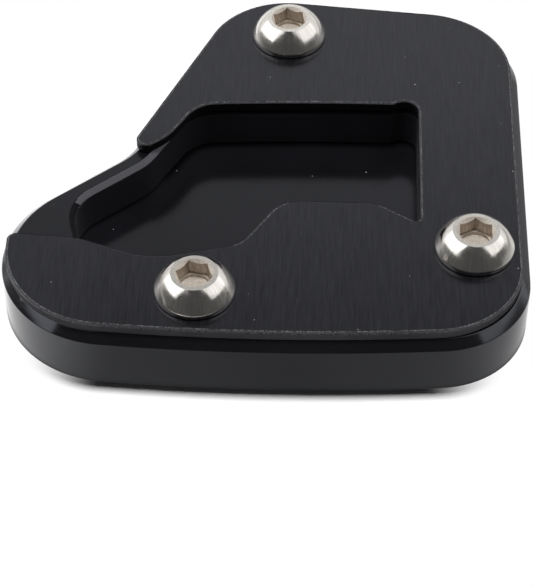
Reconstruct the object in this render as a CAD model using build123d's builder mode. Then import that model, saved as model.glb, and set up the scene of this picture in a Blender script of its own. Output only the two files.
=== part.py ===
from build123d import *
import os
from math import asin, cos, degrees, radians, sin

# Side-stand foot enlarger: a pocketed base plate takes the foot of the stand, and a C-shaped clamp plate
# closes over the foot's rim, held by three button-head screws. All sizes are in millimetres.
# The origin is the middle of the sole. X runs along the front edge, Y towards the rear edge, Z up.

# Base plate
length = 69.6
depth = 67.5
base_thickness = 8.5
edge_chamfer = 1.15
sole_break = 0.2

# Outline of the base plate, edge by edge
front_bow_radius = 287.0
front_bow_from_left = 32.65
rear_edge_angle = -5.3
rear_edge_fall = 3.0
neck_angle = 67.3
flank_angle = 41.2
waist_from_left = 15.25
waist_from_front = 35.8
nose_radius = 15.0
front_right_radius = 12.5
rear_right_radius = 12.8
rear_left_radius = 12.0
waist_radius = 10.0

# Pocket for the foot of the stand
pocket_depth = 6.0
pocket_chamfer = 0.7
right_wall = 14.4
pocket_rear_from_front = 45.2
front_wall = 13.8
flank_wall = 3.4
nose_wall = 9.75
nose_wall_from_front = 18.75
pocket_end_angle = 104.0
rear_wall_angle = 1.9
rear_wall_bow = 0.3
pocket_end_radius = 6.0
pocket_elbow_radius = 8.0
pocket_rear_radius = 5.3
pocket_front_radius = 3.0

# Milled relief in the rear right corner of pocket and cut-out
relief_radius = 2.0
relief_overcut = 0.65
relief_blend = 1.0

# Clamp plate
clamp_thickness = 1.45
clamp_break = 0.15
rear_ledge = 0.3
arm_overlap = 0.55
clamp_corner_radius = 12.0

# Cut-out of the clamp plate: rear arm, tongue that presses on the foot, bay and front arm
elbow_from_waist = (5.35, 1.7)
arm_inner_angle = 62.0
arm_tip_angle = 38.7
arm_tip_radius = 1.4
arm_elbow_radius = 10.0
cut_rear_radius = 4.8
tongue_reach = 25.3
tongue_gap = 6.0
tongue_from_left = 36.6
tongue_right_angle = -32.0
tongue_left_angle = 58.5
tongue_height = 8.4
tongue_right_radius = 4.4
tongue_left_radius = 4.6
tongue_root_radius = 4.0
tongue_corner_radius = 0.65
bay_from_left = 19.5
bay_from_front = 13.6
bay_radius = 14.0
shoulder_from_left = 9.6
shoulder_from_front = 17.35
shoulder_radius = 11.0
front_arm_inset = 0.5
front_arm_from_front = 17.9
front_arm_lean = 92.0
front_arm_radius = 1.2

# Button-head screws and their holes
screw_diameter = 6.0
screw_tip_gap = 0.45
screw_tip_chamfer = 0.6
head_diameter = 10.5
head_height = 3.3
head_rim = 0.5
head_edge_break = 0.15
head_flat_diameter = 6.2
head_bulge = 0.4
socket_width = 4.2
socket_depth = 2.2
socket_lead_diameter = 5.05
socket_drill_diameter = 3.9
socket_drill_depth = 2.65
socket_drill_point = 0.4
thread_gap = 0.05
hole_play = 0.6
screw_left_from_left = 25.95
screw_left_from_front = 8.1
screw_right_from_right = 7.4
screw_right_from_front = 17.15
screw_rear_from_left = 36.55
screw_rear_from_rear = 7.9
screw_turns = (-10.0, 30.0, 40.0)

# Values worked out from the sizes above
half_x = length / 2
half_y = depth / 2
rim_ledge = edge_chamfer
clamp_top = base_thickness + clamp_thickness
bow_centre = (front_bow_from_left - half_x, front_bow_radius - half_y)
pocket_right = half_x - right_wall
pocket_rear = pocket_rear_from_front - half_y
screw_places = (
    (screw_left_from_left - half_x, screw_left_from_front - half_y),
    (half_x - screw_right_from_right, screw_right_from_front - half_y),
    (screw_rear_from_left - half_x, half_y - screw_rear_from_rear),
)


def edge_line(point, angle):
    """Endless line through a point, in a direction given in degrees from +X."""
    return Axis((point[0], point[1], 0), (cos(radians(angle)), sin(radians(angle)), 0))


def shifted(line, distance):
    """The same line moved to its right-hand side by a distance."""
    right = line.direction.rotate(Axis.Z, -90)
    return Axis(line.position + right * distance, line.direction)


def crossing(line_a, line_b):
    """Point where two lines meet, as X and Y."""
    point = line_a.intersect(line_b)
    return (point.X, point.Y)


def round_corners(sketch, corners):
    """Round the vertex of a sketch that lies nearest to each given corner."""
    for corner, radius in corners:
        nearest = sketch.vertices().sort_by_distance(corner)[0]
        fillet(nearest, radius)


# The straight edges of the base outline, and the lines that run parallel to them
waist = (waist_from_left - half_x, waist_from_front - half_y)
front_line = edge_line((0, -half_y), 0)
right_line = edge_line((half_x, 0), 90)
rear_line = edge_line((half_x, half_y - rear_edge_fall), rear_edge_angle)
neck_line = edge_line(waist, neck_angle)
flank_line = edge_line(waist, flank_angle)
pocket_rear_line = edge_line((pocket_right, pocket_rear), rear_wall_angle)
clamp_right_line = shifted(right_line, -rim_ledge)
clamp_rear_line = shifted(rear_line, rear_ledge)
clamp_neck_line = shifted(neck_line, rear_ledge)

# The relief is a round cut, tangent to the right wall, that runs a little past the rear wall
relief_centre = (pocket_right - relief_radius, pocket_rear + relief_overcut - relief_radius)
relief_sweep = 180 - degrees(asin(1 - relief_overcut / relief_radius))
relief_start = (pocket_right, relief_centre[1])
relief_end = (
    relief_centre[0] + relief_radius * cos(radians(relief_sweep)),
    relief_centre[1] + relief_radius * sin(radians(relief_sweep)),
)

# Corners of the clamp plate's cut-out, from the front right round to the rear arm's tip
arm_elbow = (waist[0] + elbow_from_waist[0], waist[1] + elbow_from_waist[1])
arm_inner_line = edge_line(arm_elbow, arm_inner_angle)
tongue_right = (pocket_right - tongue_gap, tongue_reach - half_y)
tongue_left = (tongue_from_left - half_x, tongue_right[1])
tongue_root_line = edge_line((0, tongue_left[1] - tongue_height), 0)
tongue_corner = crossing(edge_line(tongue_right, tongue_right_angle), edge_line((pocket_right, 0), 90))
tongue_root = crossing(edge_line(tongue_left, tongue_left_angle), tongue_root_line)
bay = (bay_from_left - half_x, bay_from_front - half_y)
shoulder = (shoulder_from_left - half_x, shoulder_from_front - half_y)
front_arm = (front_arm_inset - half_x, front_arm_from_front - half_y)
front_arm_line = edge_line(front_arm, front_arm_lean)
cut_rear_left = crossing(arm_inner_line, pocket_rear_line)
arm_tip = crossing(edge_line(arm_elbow, arm_tip_angle), clamp_neck_line)

# Base plate: a bowed front edge, rounded corners, and a pocket behind chamfered edges
base_front_right = (half_x, -half_y)
base_rear_right = crossing(right_line, rear_line)
base_rear_left = crossing(rear_line, neck_line)
base_nose = crossing(flank_line, front_line)
pocket_flank_line = shifted(flank_line, flank_wall)
pocket_arm_line = shifted(arm_inner_line, -arm_overlap)
pocket_end_line = edge_line((nose_wall - half_x, nose_wall_from_front - half_y), pocket_end_angle)
pocket_front_line = edge_line((0, front_wall - half_y), 0)
pocket_elbow = crossing(pocket_flank_line, pocket_arm_line)
pocket_rear_left = crossing(pocket_arm_line, pocket_rear_line)
pocket_end = crossing(pocket_flank_line, pocket_end_line)
pocket_front_left = crossing(pocket_end_line, pocket_front_line)
pocket_front_right = (pocket_right, front_wall - half_y)

with BuildPart() as base_plate:
    with BuildSketch() as base_outline:
        with BuildLine():
            Polyline(base_front_right, base_rear_right, base_rear_left, waist, base_nose, close=True)
        make_face()
        with Locations(bow_centre):
            Circle(front_bow_radius, mode=Mode.INTERSECT)
        round_corners(
            base_outline,
            [
                (base_nose, nose_radius),
                (base_front_right, front_right_radius),
                (base_rear_right, rear_right_radius),
                (base_rear_left, rear_left_radius),
                (waist, waist_radius),
            ],
        )
    extrude(amount=base_thickness)
    chamfer(base_plate.faces().sort_by(Axis.Z)[-1].edges(), edge_chamfer)
    chamfer(base_plate.faces().sort_by(Axis.Z)[0].edges(), sole_break)
    with BuildSketch(Plane.XY.offset(base_thickness)) as pocket_outline:
        with BuildLine():
            Polyline(
                relief_start,
                pocket_front_right,
                pocket_front_left,
                pocket_end,
                pocket_elbow,
                pocket_rear_left,
            )
            SagittaArc(pocket_rear_left, relief_end, rear_wall_bow)
            CenterArc(relief_centre, relief_radius, 0, relief_sweep)
        make_face()
        round_corners(
            pocket_outline,
            [
                (pocket_front_right, pocket_front_radius),
                (pocket_front_left, pocket_end_radius),
                (pocket_end, pocket_end_radius),
                (pocket_elbow, pocket_elbow_radius),
                (pocket_rear_left, pocket_rear_radius),
                (relief_end, relief_blend),
            ],
        )
    extrude(amount=-pocket_depth, mode=Mode.SUBTRACT)
    chamfer(base_plate.faces().sort_by(Axis.Z)[-1].inner_wires()[0].edges(), pocket_chamfer)
    with Locations(*screw_places):
        Hole(screw_diameter / 2 + thread_gap, depth=base_thickness)

# Clamp plate: the same front, right and rear edges set in by a ledge, cut open to the left
clamp_front_right = crossing(clamp_right_line, front_line)
clamp_rear_right = crossing(clamp_right_line, clamp_rear_line)
clamp_rear_left = crossing(clamp_rear_line, clamp_neck_line)
clamp_front_left = crossing(front_arm_line, front_line)

with BuildPart() as clamp_plate:
    with BuildSketch(Plane.XY.offset(base_thickness)) as clamp_outline:
        with BuildLine():
            Polyline(
                relief_start,
                tongue_corner,
                tongue_right,
                tongue_left,
                tongue_root,
                bay,
                shoulder,
                front_arm,
                clamp_front_left,
                clamp_front_right,
                clamp_rear_right,
                clamp_rear_left,
                arm_tip,
                arm_elbow,
                cut_rear_left,
            )
            SagittaArc(cut_rear_left, relief_end, rear_wall_bow)
            CenterArc(relief_centre, relief_radius, 0, relief_sweep)
        make_face()
        with Locations(bow_centre):
            Circle(front_bow_radius - rim_ledge, mode=Mode.INTERSECT)
        round_corners(
            clamp_outline,
            [
                (tongue_corner, tongue_corner_radius),
                (tongue_right, tongue_right_radius),
                (tongue_left, tongue_left_radius),
                (tongue_root, tongue_root_radius),
                (bay, bay_radius),
                (shoulder, shoulder_radius),
                (front_arm, front_arm_radius),
                (clamp_front_left, nose_radius - rim_ledge),
                (clamp_front_right, clamp_corner_radius),
                (clamp_rear_right, rear_right_radius - rear_ledge),
                (clamp_rear_left, rear_left_radius - rear_ledge),
                (arm_tip, arm_tip_radius),
                (arm_elbow, arm_elbow_radius),
                (cut_rear_left, cut_rear_radius),
                (relief_end, relief_blend),
            ],
        )
    extrude(amount=clamp_thickness)
    chamfer(clamp_plate.faces().sort_by(Axis.Z)[-1].edges(), clamp_break)
    with Locations(*screw_places):
        Hole((screw_diameter + hole_play) / 2)

# Screws: a turned head and shank, seated on the clamp plate, with a drilled, countersunk and broached socket
shank_radius = screw_diameter / 2
head_radius = head_diameter / 2
head_flat_radius = head_flat_diameter / 2
head_top = clamp_top + head_height
rim_top = clamp_top + head_rim
lead_radius = socket_lead_diameter / 2
drill_radius = socket_drill_diameter / 2
drill_floor = head_top - socket_drill_depth

with BuildPart() as screw:
    with BuildSketch(Plane.XZ):
        with BuildLine():
            Polyline(
                (head_flat_radius, head_top),
                (0, head_top),
                (0, screw_tip_gap),
                (shank_radius - screw_tip_chamfer, screw_tip_gap),
                (shank_radius, screw_tip_gap + screw_tip_chamfer),
                (shank_radius, clamp_top),
                (head_radius - head_edge_break, clamp_top),
                (head_radius, clamp_top + head_edge_break),
                (head_radius, rim_top),
            )
            SagittaArc((head_flat_radius, head_top), (head_radius, rim_top), head_bulge)
        make_face()
    revolve(axis=Axis.Z)
    with BuildSketch(Plane.XZ):
        with BuildLine():
            Polyline(
                (0, head_top),
                (lead_radius, head_top),
                (drill_radius, head_top - (lead_radius - drill_radius)),
                (drill_radius, drill_floor),
                (0, drill_floor - socket_drill_point),
                close=True,
            )
        make_face()
    revolve(axis=Axis.Z, mode=Mode.SUBTRACT)
    with BuildSketch(Plane.XY.offset(head_top)):
        RegularPolygon(socket_width / 2, 6, major_radius=False)
    extrude(amount=-socket_depth, mode=Mode.SUBTRACT)

with BuildPart() as clamp_screws:
    for place, turn in zip(screw_places, screw_turns):
        with Locations(Location(place, (0, 0, turn))):
            add(screw.part)

base_plate.part.label = "base_plate"
clamp_plate.part.label = "clamp_plate"
clamp_screws.part.label = "clamp_screws"

os.makedirs("parts", exist_ok=True)
export_step(base_plate.part, "parts/base_plate.step")
export_step(clamp_plate.part, "parts/clamp_plate.step")
export_step(clamp_screws.part, "parts/clamp_screws.step")
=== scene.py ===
# %% [markdown]
# # A foot enlarger for a side stand
# A thick black plate spreads the load of a motorcycle's side stand on soft ground. A thin brushed
# plate clamps it to the foot of the stand, and three stainless button-head screws hold the two
# together. This lesson starts from the CAD model of those pieces, rounds their edges as a tumbler
# would, turns finer screws, and gives each surface the finish it has in the studio picture.

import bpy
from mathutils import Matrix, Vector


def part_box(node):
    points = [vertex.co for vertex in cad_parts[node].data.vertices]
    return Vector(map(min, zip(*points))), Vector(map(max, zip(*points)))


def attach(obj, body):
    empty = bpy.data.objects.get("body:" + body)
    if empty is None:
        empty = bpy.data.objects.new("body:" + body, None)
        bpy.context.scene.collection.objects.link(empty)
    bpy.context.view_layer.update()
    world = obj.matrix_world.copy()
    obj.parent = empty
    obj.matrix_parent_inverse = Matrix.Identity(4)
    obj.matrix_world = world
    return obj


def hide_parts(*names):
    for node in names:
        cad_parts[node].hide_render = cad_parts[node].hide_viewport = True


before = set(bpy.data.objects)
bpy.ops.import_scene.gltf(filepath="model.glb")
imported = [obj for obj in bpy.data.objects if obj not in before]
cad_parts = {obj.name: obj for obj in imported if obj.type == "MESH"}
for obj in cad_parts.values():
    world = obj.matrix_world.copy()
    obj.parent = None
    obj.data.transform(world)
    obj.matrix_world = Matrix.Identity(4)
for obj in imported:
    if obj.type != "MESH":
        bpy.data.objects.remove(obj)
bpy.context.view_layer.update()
print("nodes:", sorted(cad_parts))

# %% [markdown]
# ## Plates with rounded edges
# Both plates are cut from aluminium sheet on a mill. No real edge is perfectly sharp: deburring
# and anodising leave a radius of a tenth of a millimetre or so, and that radius is what catches
# the light as a thin line. The plates could be drawn again here, but the CAD outline is already
# right. So each plate is a copy of its CAD node: the loose triangles are merged, flat areas are
# joined into large faces, and the outer edges are bevelled. Inner corners, such as the foot of
# the pocket wall, stay sharp. The plan view is kept as a UV map, because the brushed finish needs
# to know which way the brush went.

# %% Round the edges of a plate
import bmesh
import bpy
from math import atan2, cos, hypot, pi, radians, sin, tan
from mathutils import Matrix, Quaternion, Vector

MM = 0.001
SHARP = radians(35)
FLAT = radians(0.4)
MERGE = 0.001 * MM
PLAN_WIDTH = 100 * MM
BASE_EDGE = 0.08 * MM
CLAMP_EDGE = 0.2 * MM


def map_plan(bm, width):
    """Lay the plan view of a piece, centred on the Z axis, on its UV map."""
    plan = bm.loops.layers.uv.new("plan_view")
    for face in bm.faces:
        for loop in face.loops:
            loop[plan].uv = (0.5 + loop.vert.co.x / width, 0.5 + loop.vert.co.y / width)


def rounded_plate(node_name, piece_name, radius):
    """A copy of a CAD plate with its outer edges rounded, standing for the node."""
    bm = bmesh.new()
    bm.from_mesh(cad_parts[node_name].data)
    bmesh.ops.remove_doubles(bm, verts=bm.verts, dist=MERGE)
    bmesh.ops.dissolve_limit(bm, angle_limit=FLAT, verts=bm.verts, edges=bm.edges)
    outer = [e for e in bm.edges if e.is_convex and e.calc_face_angle() > SHARP]
    bmesh.ops.bevel(bm, geom=outer, offset=radius, offset_type="OFFSET", affect="EDGES", segments=2,
                    profile=0.5, material=-1, clamp_overlap=False)
    for edge in bm.edges:
        edge.smooth = edge.is_convex or edge.calc_face_angle(0) < SHARP
    map_plan(bm, PLAN_WIDTH)
    mesh = bpy.data.meshes.new(piece_name)
    bm.to_mesh(mesh)
    bm.free()
    plate = bpy.data.objects.new(piece_name, mesh)
    bpy.context.collection.objects.link(plate)
    for face in mesh.polygons:
        face.use_smooth = True
    even = plate.modifiers.new("even_shading", "WEIGHTED_NORMAL")
    even.weight = 100
    even.keep_sharp = True
    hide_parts(node_name)
    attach(plate, "root")
    print(piece_name, "edges rounded:", len(outer), "faces:", len(mesh.polygons))
    return plate


base_plate = rounded_plate("base_plate", "pocketed_plate", BASE_EDGE)
clamp_plate = rounded_plate("clamp_plate", "brushed_clamp", CLAMP_EDGE)

# %% [markdown]
# ## Button-head screws
# A button-head screw is turned: a low dome that runs out in a cone, with a rounded edge down to a
# short rim, and a hexagon socket broached into its flat top. A cone leads the key into the
# socket, so each flat of the hexagon starts with a small crescent. Turned parts are drawn as half
# a profile and spun. The profile's two arcs are themselves spins: one vertex swept about the
# arc's centre.

# %% Half profile of the screw
CLAMP_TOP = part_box("clamp_plate")[1][2]
SHANK_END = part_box("clamp_screws")[0][2]
HEAD_RADIUS = 5.25 * MM
HEAD_HEIGHT = 3.3 * MM
HEAD_TOP = CLAMP_TOP + HEAD_HEIGHT
RIM_TOP = CLAMP_TOP + 0.5 * MM
FLAT_RADIUS = 3.1 * MM
LEAD_RADIUS = 2.525 * MM
DOME_BULGE = 0.3 * MM
CONE_SLOPE = radians(28)
EDGE_RADIUS = 0.8 * MM
RIM_BREAK = 0.15 * MM
HEAD_LIFT = 0.005 * MM
SHANK_RADIUS = 3.0 * MM
TIP_CHAMFER = 0.6 * MM
SPIN_STEPS = 96
DOME_STEPS = 12
EDGE_STEPS = 6


def add_line(bm, start, points):
    """Edges from a vertex through (radius, height) points. Returns the last vertex."""
    for radius, height in points:
        end = bm.verts.new((radius, 0, height))
        bm.edges.new((start, end))
        start = end
    return start


def dome_arc():
    """Centre, radius and first angle of the dome's arc, from its chord and bulge."""
    run = HEAD_RADIUS - FLAT_RADIUS
    fall = HEAD_TOP - RIM_TOP
    half_chord = hypot(run, fall) / 2
    radius = (half_chord**2 + DOME_BULGE**2) / (2 * DOME_BULGE)
    back = (radius - DOME_BULGE) / (2 * half_chord)
    centre_r = (HEAD_RADIUS + FLAT_RADIUS) / 2 - fall * back
    centre_z = (HEAD_TOP + RIM_TOP) / 2 - run * back
    start = atan2(HEAD_TOP - centre_z, FLAT_RADIUS - centre_r)
    return Vector((centre_r, 0, centre_z)), radius, start


def sweep_arc(bm, start, centre, sweep, steps):
    """Turn a vertex of the profile about a centre. Returns the arc's last vertex."""
    arc = bmesh.ops.spin(bm, geom=[start], cent=centre, axis=(0, 1, 0), angle=sweep, steps=steps)
    return [v for v in arc["geom_last"] if isinstance(v, bmesh.types.BMVert)][0]


def screw_profile(bm):
    """Half profile from the socket's lead-in, over the dome, to the tip of the shank."""
    lead = bm.verts.new((LEAD_RADIUS, 0, HEAD_TOP))
    flat = add_line(bm, lead, [(FLAT_RADIUS, HEAD_TOP)])
    centre, radius, start = dome_arc()
    dome = sweep_arc(bm, flat, centre, start - CONE_SLOPE, DOME_STEPS)
    slope = Vector((cos(CONE_SLOPE), 0, sin(CONE_SLOPE)))
    cone_radius = HEAD_RADIUS - EDGE_RADIUS * (1 - cos(CONE_SLOPE))
    cone_height = dome.co.z - (cone_radius - dome.co.x) / tan(CONE_SLOPE)
    cone = add_line(bm, dome, [(cone_radius, cone_height)])
    rim = sweep_arc(bm, cone, cone.co - slope * EDGE_RADIUS, CONE_SLOPE, EDGE_STEPS)
    add_line(bm, rim, [
        (HEAD_RADIUS, CLAMP_TOP + RIM_BREAK),
        (HEAD_RADIUS - RIM_BREAK, CLAMP_TOP + HEAD_LIFT),
        (SHANK_RADIUS, CLAMP_TOP + HEAD_LIFT),
        (SHANK_RADIUS, SHANK_END + TIP_CHAMFER),
        (SHANK_RADIUS - TIP_CHAMFER, SHANK_END),
        (0, SHANK_END),
    ])
    print("profile points:", len(bm.verts), "dome radius:", round(radius / MM, 2))

# %% [markdown]
# The socket is made as in the workshop: a hole is drilled and countersunk, and a hexagon is
# broached into it. The hexagon has many points on each flat, and each point drops to the height
# of the countersink's cone at its radius, which gives the scalloped edge of a real socket. From
# there the open edge is sunk step by step: down the flats, in to the drilled hole, and down to
# its floor. The broached flats take the second finish, and what the drill and the countersink cut
# takes the third.

# %% Broach the socket
SOCKET_WIDTH = 4.2 * MM
HEX_RADIUS = SOCKET_WIDTH / 2 / cos(pi / 6)
BROACH_FLOOR = HEAD_TOP - 2.2 * MM
DRILL_RADIUS = 1.95 * MM
DRILL_FLOOR = HEAD_TOP - 2.65 * MM
DRILL_POINT = 0.4 * MM
HEX_TURN = Matrix.Rotation(radians(30), 4, "Z")
BROACHED, DRILLED = 1, 2


def sink_edge(bm, edges, radius, height, finish):
    """Sink an open edge to a height, and to a radius if one is given. Returns the new edge."""
    grown = bmesh.ops.extrude_edge_only(bm, edges=edges)["geom"]
    for v in [g for g in grown if isinstance(g, bmesh.types.BMVert)]:
        scale = 1 if radius is None else radius / hypot(v.co.x, v.co.y)
        v.co = (v.co.x * scale, v.co.y * scale, height)
    for face in [g for g in grown if isinstance(g, bmesh.types.BMFace)]:
        face.material_index = finish
    return [g for g in grown if isinstance(g, bmesh.types.BMEdge) and g.is_boundary]


def broach_socket(bm):
    """Hexagon socket in the open top of the spun head."""
    rim = [e for e in bm.edges if e.is_boundary]
    bmesh.ops.create_circle(bm, segments=6, radius=HEX_RADIUS, cap_ends=False, matrix=HEX_TURN)
    sides = [e for e in bm.edges if e.is_wire]
    bmesh.ops.subdivide_edges(bm, edges=sides, cuts=SPIN_STEPS // 6 - 1)
    scallop = [e for e in bm.edges if e.is_wire]
    for v in {v for e in scallop for v in e.verts}:
        v.co.z = HEAD_TOP - (LEAD_RADIUS - hypot(v.co.x, v.co.y))
    for face in bmesh.ops.bridge_loops(bm, edges=rim + scallop)["faces"]:
        face.material_index = DRILLED
    broached = sink_edge(bm, scallop, None, BROACH_FLOOR, BROACHED)
    ledge = sink_edge(bm, broached, DRILL_RADIUS, BROACH_FLOOR, DRILLED)
    bottom = sink_edge(bm, ledge, None, DRILL_FLOOR, DRILLED)
    floor = bmesh.ops.contextual_create(bm, geom=bottom)["faces"]
    drilled = bmesh.ops.poke(bm, faces=floor)
    bmesh.ops.translate(bm, verts=drilled["verts"], vec=(0, 0, -DRILL_POINT))
    for face in drilled["faces"]:
        face.material_index = DRILLED

# %% Turn the three screws
SCREW_PLAN = 12 * MM
CREASE = radians(24)


def turned_screw(piece_name, place, turn):
    """One button-head screw at a place on the clamp plate, its socket turned by some degrees."""
    bm = bmesh.new()
    screw_profile(bm)
    bmesh.ops.spin(bm, geom=bm.verts[:] + bm.edges[:], cent=(0, 0, 0), axis=(0, 0, 1), angle=2 * pi,
                   steps=SPIN_STEPS, use_merge=True)
    bmesh.ops.remove_doubles(bm, verts=bm.verts, dist=MERGE)
    broach_socket(bm)
    bmesh.ops.recalc_face_normals(bm, faces=bm.faces)
    map_plan(bm, SCREW_PLAN)
    bmesh.ops.rotate(bm, verts=bm.verts, cent=(0, 0, 0), matrix=Matrix.Rotation(radians(turn), 3, "Z"))
    bmesh.ops.translate(bm, verts=bm.verts, vec=(place[0] * MM, place[1] * MM, 0))
    open_edges = sum(e.is_boundary for e in bm.edges)
    mesh = bpy.data.meshes.new(piece_name)
    bm.to_mesh(mesh)
    bm.free()
    mesh.shade_smooth()
    mesh.set_sharp_from_angle(angle=CREASE)
    screw = bpy.data.objects.new(piece_name, mesh)
    bpy.context.collection.objects.link(screw)
    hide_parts("clamp_screws")
    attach(screw, "root")
    print(piece_name, "faces:", len(mesh.polygons), "open edges:", open_edges)
    return screw


screws = [
    turned_screw("screw_left", (-8.85, -25.65), -10),
    turned_screw("screw_right", (27.4, -16.6), 30),
    turned_screw("screw_rear", (1.75, 25.85), 40),
]

# %% [markdown]
# ## Black anodised aluminium
# Anodising grows a clear oxide skin that is dyed black. What shows is a very dark body colour
# under a skin that reflects about as glass does, so the shader is no metal: a nearly black base,
# an index of refraction of about 1.4, and a soft gloss. A little noise in the gloss keeps milled
# walls from looking like plastic.

# %% Noise helpers for finishes
NOISE_LOW = 0.3
NOISE_HIGH = 0.7
BUMP_DEPTH = 0.02 * MM


def new_finish(name):
    """An empty material and its node helpers."""
    finish = bpy.data.materials.new(name)
    finish.use_nodes = True
    nodes = finish.node_tree.nodes
    return finish, nodes, finish.node_tree.links, nodes["Principled BSDF"]


def stretched_noise(nodes, links, scale, detail, roughness):
    """Noise on Object coordinates, with its own scale per metre along X, Y and Z."""
    place = nodes.new("ShaderNodeTexCoord")
    stretch = nodes.new("ShaderNodeMapping")
    stretch.inputs["Scale"].default_value = scale
    noise = nodes.new("ShaderNodeTexNoise")
    noise.inputs["Scale"].default_value = 1.0
    noise.inputs["Detail"].default_value = detail
    noise.inputs["Roughness"].default_value = roughness
    links.new(place.outputs["Object"], stretch.inputs["Vector"])
    links.new(stretch.outputs["Vector"], noise.inputs["Vector"])
    return noise.outputs["Fac"]


def spread(nodes, links, source, low, high, target):
    """Map a noise's useful middle range to low and high, into a socket."""
    ranged = nodes.new("ShaderNodeMapRange")
    ranged.inputs["From Min"].default_value = NOISE_LOW
    ranged.inputs["From Max"].default_value = NOISE_HIGH
    ranged.inputs["To Min"].default_value = low
    ranged.inputs["To Max"].default_value = high
    links.new(source, ranged.inputs["Value"])
    links.new(ranged.outputs["Result"], target)


def tint(nodes, links, source, dark, light, target, low=NOISE_LOW, high=NOISE_HIGH):
    """Colour between dark and light by a noise, over its range from low to high, into a socket."""
    ramp = nodes.new("ShaderNodeValToRGB")
    ramp.color_ramp.elements[0].position = low
    ramp.color_ramp.elements[1].position = high
    ramp.color_ramp.elements[0].color = (*dark, 1)
    ramp.color_ramp.elements[1].color = (*light, 1)
    links.new(source, ramp.inputs["Fac"])
    links.new(ramp.outputs["Color"], target)


def ripple(nodes, links, source, strength, skin):
    """Tilt the surface a little by a noise."""
    bump = nodes.new("ShaderNodeBump")
    bump.inputs["Strength"].default_value = strength
    bump.inputs["Distance"].default_value = BUMP_DEPTH
    links.new(source, bump.inputs["Height"])
    links.new(bump.outputs["Normal"], skin.inputs["Normal"])

# %% [markdown]
# A few grains of pale dust lie on the plates. A cell pattern in plan gives one grain to some of
# its cells, each with its own size, so no two areas look alike.

# %% Dust and the black skins
BLACK_DARK = (0.004, 0.004, 0.005)
BLACK_LIGHT = (0.006, 0.006, 0.0075)
# Painted light: the pocket walls get a body colour far paler than the black skin, standing in for light
# that hardly reaches them.
PAINTED_LIT_WALL_DARK = (0.10, 0.10, 0.112)
PAINTED_LIT_WALL_LIGHT = (0.13, 0.13, 0.145)
# Painted light: where the bay's chamfer faces the front it is paler than the black skin, standing in
# for the light it catches.
PAINTED_LIT_BAY_DARK = (0.050, 0.050, 0.056)
PAINTED_LIT_BAY_LIGHT = (0.070, 0.070, 0.077)
# Painted shade: the clamp's rear-facing edges take a darker copy of the edge finish, without the pale
# specks.
SHADED_EDGE_DARK = (0.020, 0.020, 0.023)
SHADED_EDGE_LIGHT = (0.030, 0.030, 0.034)
# Painted light: the clamp's cut sides get a body colour paler than the black skin, standing in for
# light that hardly reaches them.
SHEARED_PAINTED_LIT_DARK = (0.050, 0.050, 0.056)
SHEARED_PAINTED_LIT_LIGHT = (0.070, 0.070, 0.077)
# Wear and painted highlight: pale specks on the clamp's edges that face the front and the sides.
WEAR_AND_HIGHLIGHT_DARK = (0.004, 0.004, 0.005)
WEAR_AND_HIGHLIGHT_LIGHT = (0.20, 0.20, 0.205)
BRUSHED_DARK = (0.001, 0.001, 0.0015)
BRUSHED_LIGHT = (0.011, 0.011, 0.0135)
DUST = (0.26, 0.26, 0.27, 1)
DUST_CELLS = 150
DUST_CHANCE = 0.5
DUST_GRAIN = 0.015
COOL_GLOSS = (0.87, 0.89, 1.0, 1)
OXIDE_IOR = 1.44


def dusty_tint(nodes, links, source, dark, light, skin):
    """Nearly black body colour with sparse grains of dust."""
    place = nodes.new("ShaderNodeTexCoord")
    cells = nodes.new("ShaderNodeTexVoronoi")
    cells.voronoi_dimensions = "2D"
    cells.inputs["Scale"].default_value = DUST_CELLS
    chance = nodes.new("ShaderNodeSeparateColor")
    size = nodes.new("ShaderNodeMapRange")
    size.inputs["From Min"].default_value = DUST_CHANCE
    size.inputs["To Max"].default_value = DUST_GRAIN
    grain = nodes.new("ShaderNodeMath")
    grain.operation = "LESS_THAN"
    body = nodes.new("ShaderNodeMix")
    body.data_type = "RGBA"
    body.inputs[7].default_value = DUST
    links.new(place.outputs["Object"], cells.inputs["Vector"])
    links.new(cells.outputs["Color"], chance.inputs["Color"])
    links.new(chance.outputs["Red"], size.inputs["Value"])
    links.new(cells.outputs["Distance"], grain.inputs[0])
    links.new(size.outputs["Result"], grain.inputs[1])
    links.new(grain.outputs["Value"], body.inputs[0])
    tint(nodes, links, source, dark, light, body.inputs[6])
    links.new(body.outputs[2], skin.inputs["Base Color"])


def anodised_black(name, scale, low, high, dark=BLACK_DARK, light=BLACK_LIGHT, bumps=0.05,
                   dusty=False, gloss=0.5):
    """Black skin with a fine grain and a roughness from low to high; clear oxide has gloss 0.5."""
    finish, nodes, links, skin = new_finish(name)
    grain = stretched_noise(nodes, links, scale, 4, 0.6)
    cloud = stretched_noise(nodes, links, (90, 90, 90), 2, 0.5)
    skin.inputs["IOR"].default_value = OXIDE_IOR
    skin.inputs["Specular Tint"].default_value = COOL_GLOSS
    skin.inputs["Specular IOR Level"].default_value = gloss
    if dusty:
        dusty_tint(nodes, links, cloud, dark, light, skin)
    else:
        tint(nodes, links, cloud, dark, light, skin.inputs["Base Color"])
    spread(nodes, links, grain, low, high, skin.inputs["Roughness"])
    ripple(nodes, links, grain, bumps, skin)
    return finish


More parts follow.
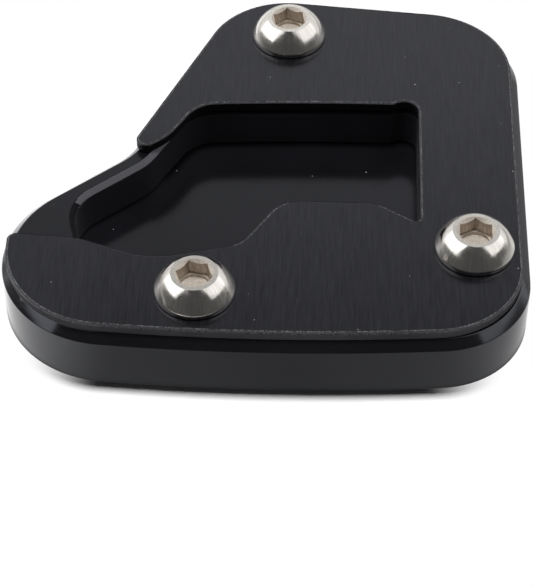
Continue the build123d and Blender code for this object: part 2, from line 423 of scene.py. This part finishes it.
def wear_and_highlight_edge():
    """Skin on the clamp's rounded edges: pale specks, partly black rubbed away by tumbling, partly a
    painted highlight.
    """
    finish, nodes, links, skin = new_finish("worn_edge_painted_highlight")
    specks = stretched_noise(nodes, links, (4500, 4500, 4500), 4, 0.7)
    skin.inputs["IOR"].default_value = OXIDE_IOR
    skin.inputs["Specular Tint"].default_value = COOL_GLOSS
    tint(nodes, links, specks, WEAR_AND_HIGHLIGHT_DARK, WEAR_AND_HIGHLIGHT_LIGHT, skin.inputs["Base Color"], 0.44, 0.7)
    spread(nodes, links, specks, 0.25, 0.4, skin.inputs["Roughness"])
    ripple(nodes, links, specks, 0.3, skin)
    return finish

# %% [markdown]
# ## Brushed top faces
# The flat top faces are brushed before anodising, front to back, so fine lines run along Y. Noise
# that is stretched about eighteen times along Y gives such lines. They tilt the surface sideways,
# so reflections are drawn out across the lines: that is what the anisotropic gloss does, along
# the X direction of the plan view.

# %% Brushed black finish
def brushed_black():
    """Black skin over brush lines that run front to back."""
    finish, nodes, links, skin = new_finish("brushed_black_anodised")
    lines = stretched_noise(nodes, links, (4000, 220, 220), 4, 0.65)
    cloud = stretched_noise(nodes, links, (160, 60, 60), 2, 0.5)
    skin.inputs["IOR"].default_value = OXIDE_IOR
    skin.inputs["Specular Tint"].default_value = COOL_GLOSS
    skin.inputs["Anisotropic"].default_value = 0.6
    brush_way = nodes.new("ShaderNodeTangent")
    brush_way.direction_type = "UV_MAP"
    brush_way.uv_map = "plan_view"
    links.new(brush_way.outputs["Tangent"], skin.inputs["Tangent"])
    dusty_tint(nodes, links, lines, BRUSHED_DARK, BRUSHED_LIGHT, skin)
    spread(nodes, links, cloud, 0.18, 0.24, skin.inputs["Roughness"])
    ripple(nodes, links, lines, 0.2, skin)
    return finish


FINE_GRAIN = (2600, 2600, 2600)
milled = anodised_black("milled_black_anodised", FINE_GRAIN, 0.10, 0.16)
chamfered = anodised_black("chamfered_black_anodised", (30, 30, 4000), 0.10, 0.16, bumps=0.1,
                           gloss=0.8)
# Painted light on the clamp's cut sides: a paler body colour in place of the light they lack.
sheared_painted_light = anodised_black("sheared_black_painted_light", (1500, 1500, 4000), 0.6, 0.7,
                         SHEARED_PAINTED_LIT_DARK, SHEARED_PAINTED_LIT_LIGHT, gloss=0.12)
# Painted shade: the darker copy of the edge finish for edges that face the rear.
shaded_rear_edge = anodised_black("shaded_rear_edge_black", FINE_GRAIN, 0.6, 0.7, SHADED_EDGE_DARK, SHADED_EDGE_LIGHT, gloss=0.12)
faced = anodised_black("faced_black_anodised", FINE_GRAIN, 0.20, 0.26, dusty=True, gloss=0.40)
pocket_floor = anodised_black("pocket_floor_black", FINE_GRAIN, 0.14, 0.20, dusty=True, gloss=0.4)
# Painted light on the pocket walls: a pale body colour in place of the light they lack.
painted_lit_pocket_wall = anodised_black("pocket_wall_painted_light", (2600, 2600, 300), 0.6, 0.7,
                             PAINTED_LIT_WALL_DARK, PAINTED_LIT_WALL_LIGHT)
# Painted light: the bay's chamfer that faces the front takes this paler colour.
painted_lit_bay_edge = anodised_black("bay_edge_painted_light", FINE_GRAIN, 0.16, 0.22, PAINTED_LIT_BAY_DARK, PAINTED_LIT_BAY_LIGHT)
pocket_rim = anodised_black("pocket_rim_black", FINE_GRAIN, 0.6, 0.7, gloss=0.12)
wear_and_highlight = wear_and_highlight_edge()
brushed = brushed_black()

# %% Lay the finishes on the faces
PLATE_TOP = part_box("base_plate")[1][2]
POCKET_MIDDLE = Vector((0, -4 * MM, 0))
TOP_BAND = 0.5 * MM
UPRIGHT = 0.3
BAY_RIGHT = -12 * MM
FACING_FRONT = -0.25


def faces_up(face):
    """True for flat faces that look up."""
    return face.normal.z > 0.99


def faces_pocket(face):
    """True for walls and chamfers that look towards the middle of the pocket."""
    inwards = POCKET_MIDDLE - face.center
    return face.normal.x * inwards.x + face.normal.y * inwards.y > 0


def lay_finishes(plate, finishes, choose):
    """Give each face of a plate the finish that choose picks for it."""
    plate.data.materials.clear()
    for finish in finishes:
        plate.data.materials.append(finish)
    for face in plate.data.polygons:
        face.material_index = finishes.index(choose(face))
    print(plate.name, "finishes:", [f.name for f in finishes])


def base_finish(face):
    """Finish of the base plate; the bay's chamfer is painted paler where it faces the front, as painted
    light.
    """
    upright = abs(face.normal.z) < UPRIGHT
    if faces_up(face):
        return faced if face.center.z > PLATE_TOP - TOP_BAND else pocket_floor
    if faces_pocket(face):
        painted_lit_bay = face.center.x < BAY_RIGHT and face.normal.y < FACING_FRONT
        # Pocket walls take the pale wall colour as painted light.
        if upright:
            return painted_lit_pocket_wall
        return painted_lit_bay_edge if painted_lit_bay else pocket_rim
    return milled if upright or face.normal.z < -0.9 else chamfered


def clamp_finish(face):
    """Finish of the clamp plate; its rounded edges get pale specks, wear and painted highlight, except
    towards the rear, which takes a shaded copy.
    """
    if faces_up(face):
        return brushed
    # The clamp's sides take the paler colour as painted light.
    if face.normal.z < 0.1:
        return sheared_painted_light
    # Edges facing front and sides get the specks of wear and painted highlight; rear edges get the
    # shaded copy.
    return wear_and_highlight if face.normal.y < 0.2 else shaded_rear_edge


pocket_finishes = [pocket_floor, painted_lit_pocket_wall, painted_lit_bay_edge, pocket_rim]
lay_finishes(base_plate, [milled, chamfered, faced] + pocket_finishes, base_finish)
lay_finishes(clamp_plate, [sheared_painted_light, wear_and_highlight, shaded_rear_edge, brushed], clamp_finish)

# %% [markdown]
# ## Polished stainless steel
# The screws are tumbled and polished, so they mirror the studio, with some duller spots. Fine
# scratches run outwards. Each screw keeps its own plan as a UV map, so a noise that reads only
# the direction from the screw's axis makes lines that all point at the middle. The socket is left
# as the broach cut it, duller and warmer.

# %% Stainless finishes
STEEL_DARK = (0.60, 0.57, 0.53)
STEEL_LIGHT = (0.80, 0.77, 0.73)


def polished_stainless():
    """Mirror-like steel with fine scratches that run outwards."""
    finish, nodes, links, skin = new_finish("polished_stainless")
    plan = nodes.new("ShaderNodeUVMap")
    plan.uv_map = "plan_view"
    centre = nodes.new("ShaderNodeVectorMath")
    centre.operation = "SUBTRACT"
    centre.inputs[1].default_value = (0.5, 0.5, 0)
    direction = nodes.new("ShaderNodeVectorMath")
    direction.operation = "NORMALIZE"
    rays = nodes.new("ShaderNodeTexNoise")
    rays.inputs["Scale"].default_value = 24
    rays.inputs["Detail"].default_value = 4
    rays.inputs["Roughness"].default_value = 0.6
    links.new(plan.outputs["UV"], centre.inputs[0])
    links.new(centre.outputs["Vector"], direction.inputs[0])
    links.new(direction.outputs["Vector"], rays.inputs["Vector"])
    skin.inputs["Metallic"].default_value = 1
    tint(nodes, links, rays.outputs["Fac"], STEEL_DARK, STEEL_LIGHT, skin.inputs["Base Color"])
    mottle = stretched_noise(nodes, links, (900, 900, 900), 4, 0.65)
    spread(nodes, links, mottle, 0.09, 0.27, skin.inputs["Roughness"])
    ripple(nodes, links, rays.outputs["Fac"], 0.09, skin)
    return finish


def cut_steel(name, dark, light, bare):
    """Dull steel as a tool leaves it, with drag marks; bare is how little it scatters light."""
    finish, nodes, links, skin = new_finish(name)
    drag = stretched_noise(nodes, links, (3000, 3000, 900), 4, 0.6)
    skin.inputs["Metallic"].default_value = bare
    tint(nodes, links, drag, dark, light, skin.inputs["Base Color"])
    spread(nodes, links, drag, 0.45, 0.6, skin.inputs["Roughness"])
    return finish


stainless = polished_stainless()
broached = cut_steel("broached_steel", (0.36, 0.31, 0.26), (0.64, 0.57, 0.50), 0.8)
drilled = cut_steel("drilled_steel", (0.46, 0.40, 0.34), (0.66, 0.60, 0.53), 0.4)
for screw in screws:
    for finish in (stainless, broached, drilled):
        screw.data.materials.append(finish)
print("finishes:", [m.name for m in bpy.data.materials if m.users])

# %% [markdown]
# ## Floor
# The picture is taken on white paper, overexposed so that it reads as plain white. Mirrored in
# the sides of the plate it is a painted glow, not lit paper: brighter to the left and right, where
# the softboxes stand, than in front, darkened close to the plate as painted shade, and it ends at a
# dark table. Other light meets it as ordinary paper, which keeps the shadow at the foot of the
# plate. The shadow shows only in front: at both ends of the plate, and far from it, the picture
# fades to plain white.

# %% Paper floor
PAPER_SIZE = 1.6
PAPER_FRONT = -62 * MM
PAPER_FADE = 30 * MM
SHADOW_ENDS = (21 * MM, 32 * MM)
MIRRORED = [
    (-100, 0.5), (-45, 1.65), (-30, 1.35), (-20, 0.7),
    (4, 0.53), (20, 0.68), (34, 0.95), (100, 0.4),
]
PAPER_DROP = 0.01 * MM
TABLE_GLOW = 0.06
# Painted shade: ambient occlusion darkens the paper's glow within this reach of the plate.
CONTACT_REACH = 0.8 * MM
CONTACT_OPEN = (0.55, 0.95)
CONTACT_SHADE_GLOW = 0.4
PICTURE_FADE = (50 * MM, 120 * MM)
PAPER_WHITE = (0.9, 0.9, 0.9, 1)


def paper_floor():
    """One large sheet just under the sole, as part of the stage."""
    bm = bmesh.new()
    bmesh.ops.create_grid(bm, x_segments=1, y_segments=1, size=PAPER_SIZE / 2)
    bmesh.ops.translate(bm, verts=bm.verts, vec=(0, 0, -PAPER_DROP))
    mesh = bpy.data.meshes.new("paper_floor")
    bm.to_mesh(mesh)
    bm.free()
    paper = bpy.data.objects.new("paper_floor", mesh)
    bpy.context.collection.objects.link(paper)
    return paper


def mirrored_paper(nodes, links, axes):
    """Painted glow of the paper in reflections: by its X place, dark beyond its edge, and painted shade
    close to the plate.
    """
    brightest = max(level for place, level in MIRRORED)
    width = MIRRORED[-1][0] - MIRRORED[0][0]
    across = nodes.new("ShaderNodeMapRange")
    across.inputs["From Min"].default_value = MIRRORED[0][0] * MM
    across.inputs["From Max"].default_value = MIRRORED[-1][0] * MM
    glow = nodes.new("ShaderNodeValToRGB")
    while len(glow.color_ramp.elements) < len(MIRRORED):
        glow.color_ramp.elements.new(0.5)
    for stop, (place, level) in zip(glow.color_ramp.elements, MIRRORED):
        grey = level / brightest
        stop.position = (place - MIRRORED[0][0]) / width
        stop.color = (grey, grey, grey, 1)
    sheet = nodes.new("ShaderNodeMapRange")
    sheet.inputs["From Min"].default_value = PAPER_FRONT - PAPER_FADE
    sheet.inputs["From Max"].default_value = PAPER_FRONT
    sheet.inputs["To Min"].default_value = TABLE_GLOW
    sheet.inputs["To Max"].default_value = brightest
    # Painted shade: the glow is dimmed where ambient occlusion finds the plate close by.
    contact = nodes.new("ShaderNodeAmbientOcclusion")
    contact.inputs["Distance"].default_value = CONTACT_REACH
    painted_contact_shade = nodes.new("ShaderNodeMapRange")
    painted_contact_shade.inputs["From Min"].default_value = CONTACT_OPEN[0]
    painted_contact_shade.inputs["From Max"].default_value = CONTACT_OPEN[1]
    painted_contact_shade.inputs["To Min"].default_value = CONTACT_SHADE_GLOW
    glow_level = nodes.new("ShaderNodeMath")
    glow_level.operation = "MULTIPLY"
    mirrored = nodes.new("ShaderNodeEmission")
    links.new(contact.outputs["AO"], painted_contact_shade.inputs["Value"])
    links.new(painted_contact_shade.outputs["Result"], glow_level.inputs[1])
    links.new(sheet.outputs["Result"], glow_level.inputs[0])
    links.new(axes.outputs["X"], across.inputs["Value"])
    links.new(across.outputs["Result"], glow.inputs["Fac"])
    links.new(axes.outputs["Y"], sheet.inputs["Value"])
    links.new(glow.outputs["Color"], mirrored.inputs["Color"])
    links.new(glow_level.outputs["Value"], mirrored.inputs["Strength"])
    return mirrored


def paper_finish():
    """Paper for light, a glow for reflections, and a fade to white away from the plate's front."""
    finish, nodes, links, skin = new_finish("white_paper")
    nodes.remove(skin)
    place = nodes.new("ShaderNodeTexCoord")
    axes = nodes.new("ShaderNodeSeparateXYZ")
    away = nodes.new("ShaderNodeVectorMath")
    away.operation = "LENGTH"
    fade = nodes.new("ShaderNodeMapRange")
    fade.interpolation_type = "SMOOTHSTEP"
    fade.inputs["From Min"].default_value = PICTURE_FADE[0]
    fade.inputs["From Max"].default_value = PICTURE_FADE[1]
    aside = nodes.new("ShaderNodeMath")
    aside.operation = "ABSOLUTE"
    ends = nodes.new("ShaderNodeMapRange")
    ends.interpolation_type = "SMOOTHSTEP"
    ends.inputs["From Min"].default_value = SHADOW_ENDS[0]
    ends.inputs["From Max"].default_value = SHADOW_ENDS[1]
    lifted = nodes.new("ShaderNodeMath")
    lifted.operation = "MAXIMUM"
    plain = nodes.new("ShaderNodeBsdfDiffuse")
    plain.inputs["Color"].default_value = PAPER_WHITE
    white = nodes.new("ShaderNodeEmission")
    mirrored = mirrored_paper(nodes, links, axes)
    seen = nodes.new("ShaderNodeLightPath")
    faded = nodes.new("ShaderNodeMixShader")
    picture = nodes.new("ShaderNodeMixShader")
    both = nodes.new("ShaderNodeMixShader")
    links.new(place.outputs["Object"], axes.inputs["Vector"])
    links.new(place.outputs["Object"], away.inputs[0])
    links.new(away.outputs["Value"], fade.inputs["Value"])
    links.new(axes.outputs["X"], aside.inputs[0])
    links.new(aside.outputs["Value"], ends.inputs["Value"])
    links.new(fade.outputs["Result"], lifted.inputs[0])
    links.new(ends.outputs["Result"], lifted.inputs[1])
    links.new(lifted.outputs["Value"], faded.inputs["Fac"])
    links.new(plain.outputs["BSDF"], faded.inputs[1])
    links.new(white.outputs["Emission"], faded.inputs[2])
    links.new(seen.outputs["Is Camera Ray"], picture.inputs["Fac"])
    links.new(plain.outputs["BSDF"], picture.inputs[1])
    links.new(faded.outputs["Shader"], picture.inputs[2])
    links.new(seen.outputs["Is Glossy Ray"], both.inputs["Fac"])
    links.new(picture.outputs["Shader"], both.inputs[1])
    links.new(mirrored.outputs["Emission"], both.inputs[2])
    links.new(both.outputs["Shader"], nodes["Material Output"].inputs["Surface"])
    return finish


paper = paper_floor()
paper.data.materials.append(paper_finish())
print("floor:", PAPER_SIZE, "m wide")

# %% [markdown]
# ## Lamps
# A softbox on each side, its front end raised, is what the screws and edges mirror. The
# photographer's side is dark: that is why the front chamfer is black and the domes are dark
# towards the camera. The shadow, short and only in front, tells of a lamp high up and a little
# behind; it lights the paper but has no mirror image of its own.

# %% Softboxes
SOFTBOX_DISTANCE = 0.6
KEY_DISTANCE = 1.0


def area_lamp(name, azimuth, elevation, distance, width, height, roll=0):
    """Lamp that faces the object; azimuth is from the camera side, positive to the right."""
    az = radians(azimuth)
    el = radians(elevation)
    towards = Vector((sin(az) * cos(el), -cos(az) * cos(el), sin(el)))
    lamp = bpy.data.lights.new(name, "AREA")
    lamp.shape = "RECTANGLE"
    lamp.size = width
    lamp.size_y = height
    holder = bpy.data.objects.new(name, lamp)
    holder.location = towards * distance
    rolled = Quaternion((0, 0, 1), radians(roll))
    holder.rotation_euler = (towards.to_track_quat("Z", "Y") @ rolled).to_euler()
    holder.visible_camera = False
    bpy.context.collection.objects.link(holder)
    return holder


def softbox(name, azimuth, elevation, width, height, brightness, roll):
    """Lamp that shows in reflections, at a brightness where 1 is white."""
    holder = area_lamp(name, azimuth, elevation, SOFTBOX_DISTANCE, width, height, roll)
    holder.data.energy = brightness * pi * width * height
    holder.visible_diffuse = False
    print(name, "brightness:", brightness)


def key_lamp(name, azimuth, elevation, width, height, level):
    """Lamp that lights white paper to a level and shows in no reflection."""
    holder = area_lamp(name, azimuth, elevation, KEY_DISTANCE, width, height)
    holder.data.energy = level * pi * pi
    holder.visible_glossy = False
    print(name, "level:", level)


softbox("softbox_left", -100.7, 44.4, 0.78, 0.60, 1.7, 24)
softbox("softbox_right", 97, 45.6, 0.72, 0.60, 1.15, -24)
key_lamp("key_high", 180, 82.5, 0.16, 0.18, 1.15)

# %% [markdown]
# The room itself is a gradient from the dark front, over grey sides, to the white sweep behind.
# The flat tops mirror the place where the sweep turns from white to grey, so they darken towards
# the front. How far a direction looks into the sweep is the mean of its depth and of its level
# length: 1 straight back, 0 to the front or upwards.

# %% Room
MIRRORED_ROOM = 1.35
ROOM_LIGHT = 0.19
ROOM = [
    (0.0, 0.055), (0.3, 0.08), (0.5, 0.12), (0.60, 0.175),
    (0.665, 0.255), (0.74, 0.78), (0.86, 0.72),
]


def studio_room():
    """Grey by the look into the sweep for reflections and light; camera rays see plain white."""
    world = bpy.data.worlds.new("studio_room")
    bpy.context.scene.world = world
    world.use_nodes = True
    nodes = world.node_tree.nodes
    links = world.node_tree.links
    place = nodes.new("ShaderNodeTexCoord")
    axes = nodes.new("ShaderNodeSeparateXYZ")
    flat = nodes.new("ShaderNodeVectorMath")
    flat.operation = "MULTIPLY"
    flat.inputs[1].default_value = (1, 1, 0)
    level_length = nodes.new("ShaderNodeVectorMath")
    level_length.operation = "LENGTH"
    total = nodes.new("ShaderNodeMath")
    total.operation = "ADD"
    depth = nodes.new("ShaderNodeMapRange")
    depth.inputs["From Max"].default_value = 2
    room = nodes.new("ShaderNodeValToRGB")
    while len(room.color_ramp.elements) < len(ROOM):
        room.color_ramp.elements.new(0.5)
    for stop, (look, grey) in zip(room.color_ramp.elements, ROOM):
        stop.position = look
        stop.color = (grey, grey, grey, 1)
    dim = nodes["Background"]
    dim.inputs["Strength"].default_value = ROOM_LIGHT
    mirrored = nodes.new("ShaderNodeBackground")
    mirrored.inputs["Strength"].default_value = MIRRORED_ROOM
    backdrop = nodes.new("ShaderNodeBackground")
    backdrop.inputs["Color"].default_value = (1, 1, 1, 1)
    seen = nodes.new("ShaderNodeLightPath")
    walls = nodes.new("ShaderNodeMixShader")
    both = nodes.new("ShaderNodeMixShader")
    links.new(place.outputs["Generated"], axes.inputs["Vector"])
    links.new(place.outputs["Generated"], flat.inputs[0])
    links.new(flat.outputs["Vector"], level_length.inputs[0])
    links.new(axes.outputs["Y"], total.inputs[0])
    links.new(level_length.outputs["Value"], total.inputs[1])
    links.new(total.outputs["Value"], depth.inputs["Value"])
    links.new(depth.outputs["Result"], room.inputs["Fac"])
    links.new(room.outputs["Color"], dim.inputs["Color"])
    links.new(room.outputs["Color"], mirrored.inputs["Color"])
    links.new(seen.outputs["Is Glossy Ray"], walls.inputs["Fac"])
    links.new(dim.outputs["Background"], walls.inputs[1])
    links.new(mirrored.outputs["Background"], walls.inputs[2])
    links.new(seen.outputs["Is Camera Ray"], both.inputs["Fac"])
    links.new(walls.outputs["Shader"], both.inputs[1])
    links.new(backdrop.outputs["Background"], both.inputs[2])
    links.new(both.outputs["Shader"], nodes["World Output"].inputs["Surface"])


studio_room()
bpy.context.scene.view_settings.view_transform = "Standard"
print("room:", [grey for look, grey in ROOM])

# %% [markdown]
# ## Camera
# The camera stands in front, a little to the right, and looks down at about 47 degrees. Its focal
# length was found by fitting the rims of the three screw heads and the straight edges in the
# picture, 533 by 586 pixels.

# %% Camera
CAMERA_ELEVATION = radians(46.711)
CAMERA_YAW = radians(-2.159)
CAMERA_DISTANCE = 268.48 * MM
FOCAL_PIXELS = 2086.7
FRAME_HEIGHT = 586
AIM = Vector((0.4 * MM, -25.73 * MM, CLAMP_TOP))

lens = bpy.data.cameras.new("studio_camera")
lens.sensor_width = 36
lens.lens = FOCAL_PIXELS * lens.sensor_width / FRAME_HEIGHT
lens.clip_start = 0.01
camera = bpy.data.objects.new("studio_camera", lens)
level = Vector((sin(CAMERA_YAW), cos(CAMERA_YAW), 0))
ahead = level * cos(CAMERA_ELEVATION) - Vector((0, 0, sin(CAMERA_ELEVATION)))
camera.location = AIM - ahead * CAMERA_DISTANCE
camera.rotation_euler = (pi / 2 - CAMERA_ELEVATION, 0, -CAMERA_YAW)
bpy.context.collection.objects.link(camera)
bpy.context.scene.camera = camera
print("camera at", [round(c / MM, 1) for c in camera.location], "lens", round(lens.lens, 2))
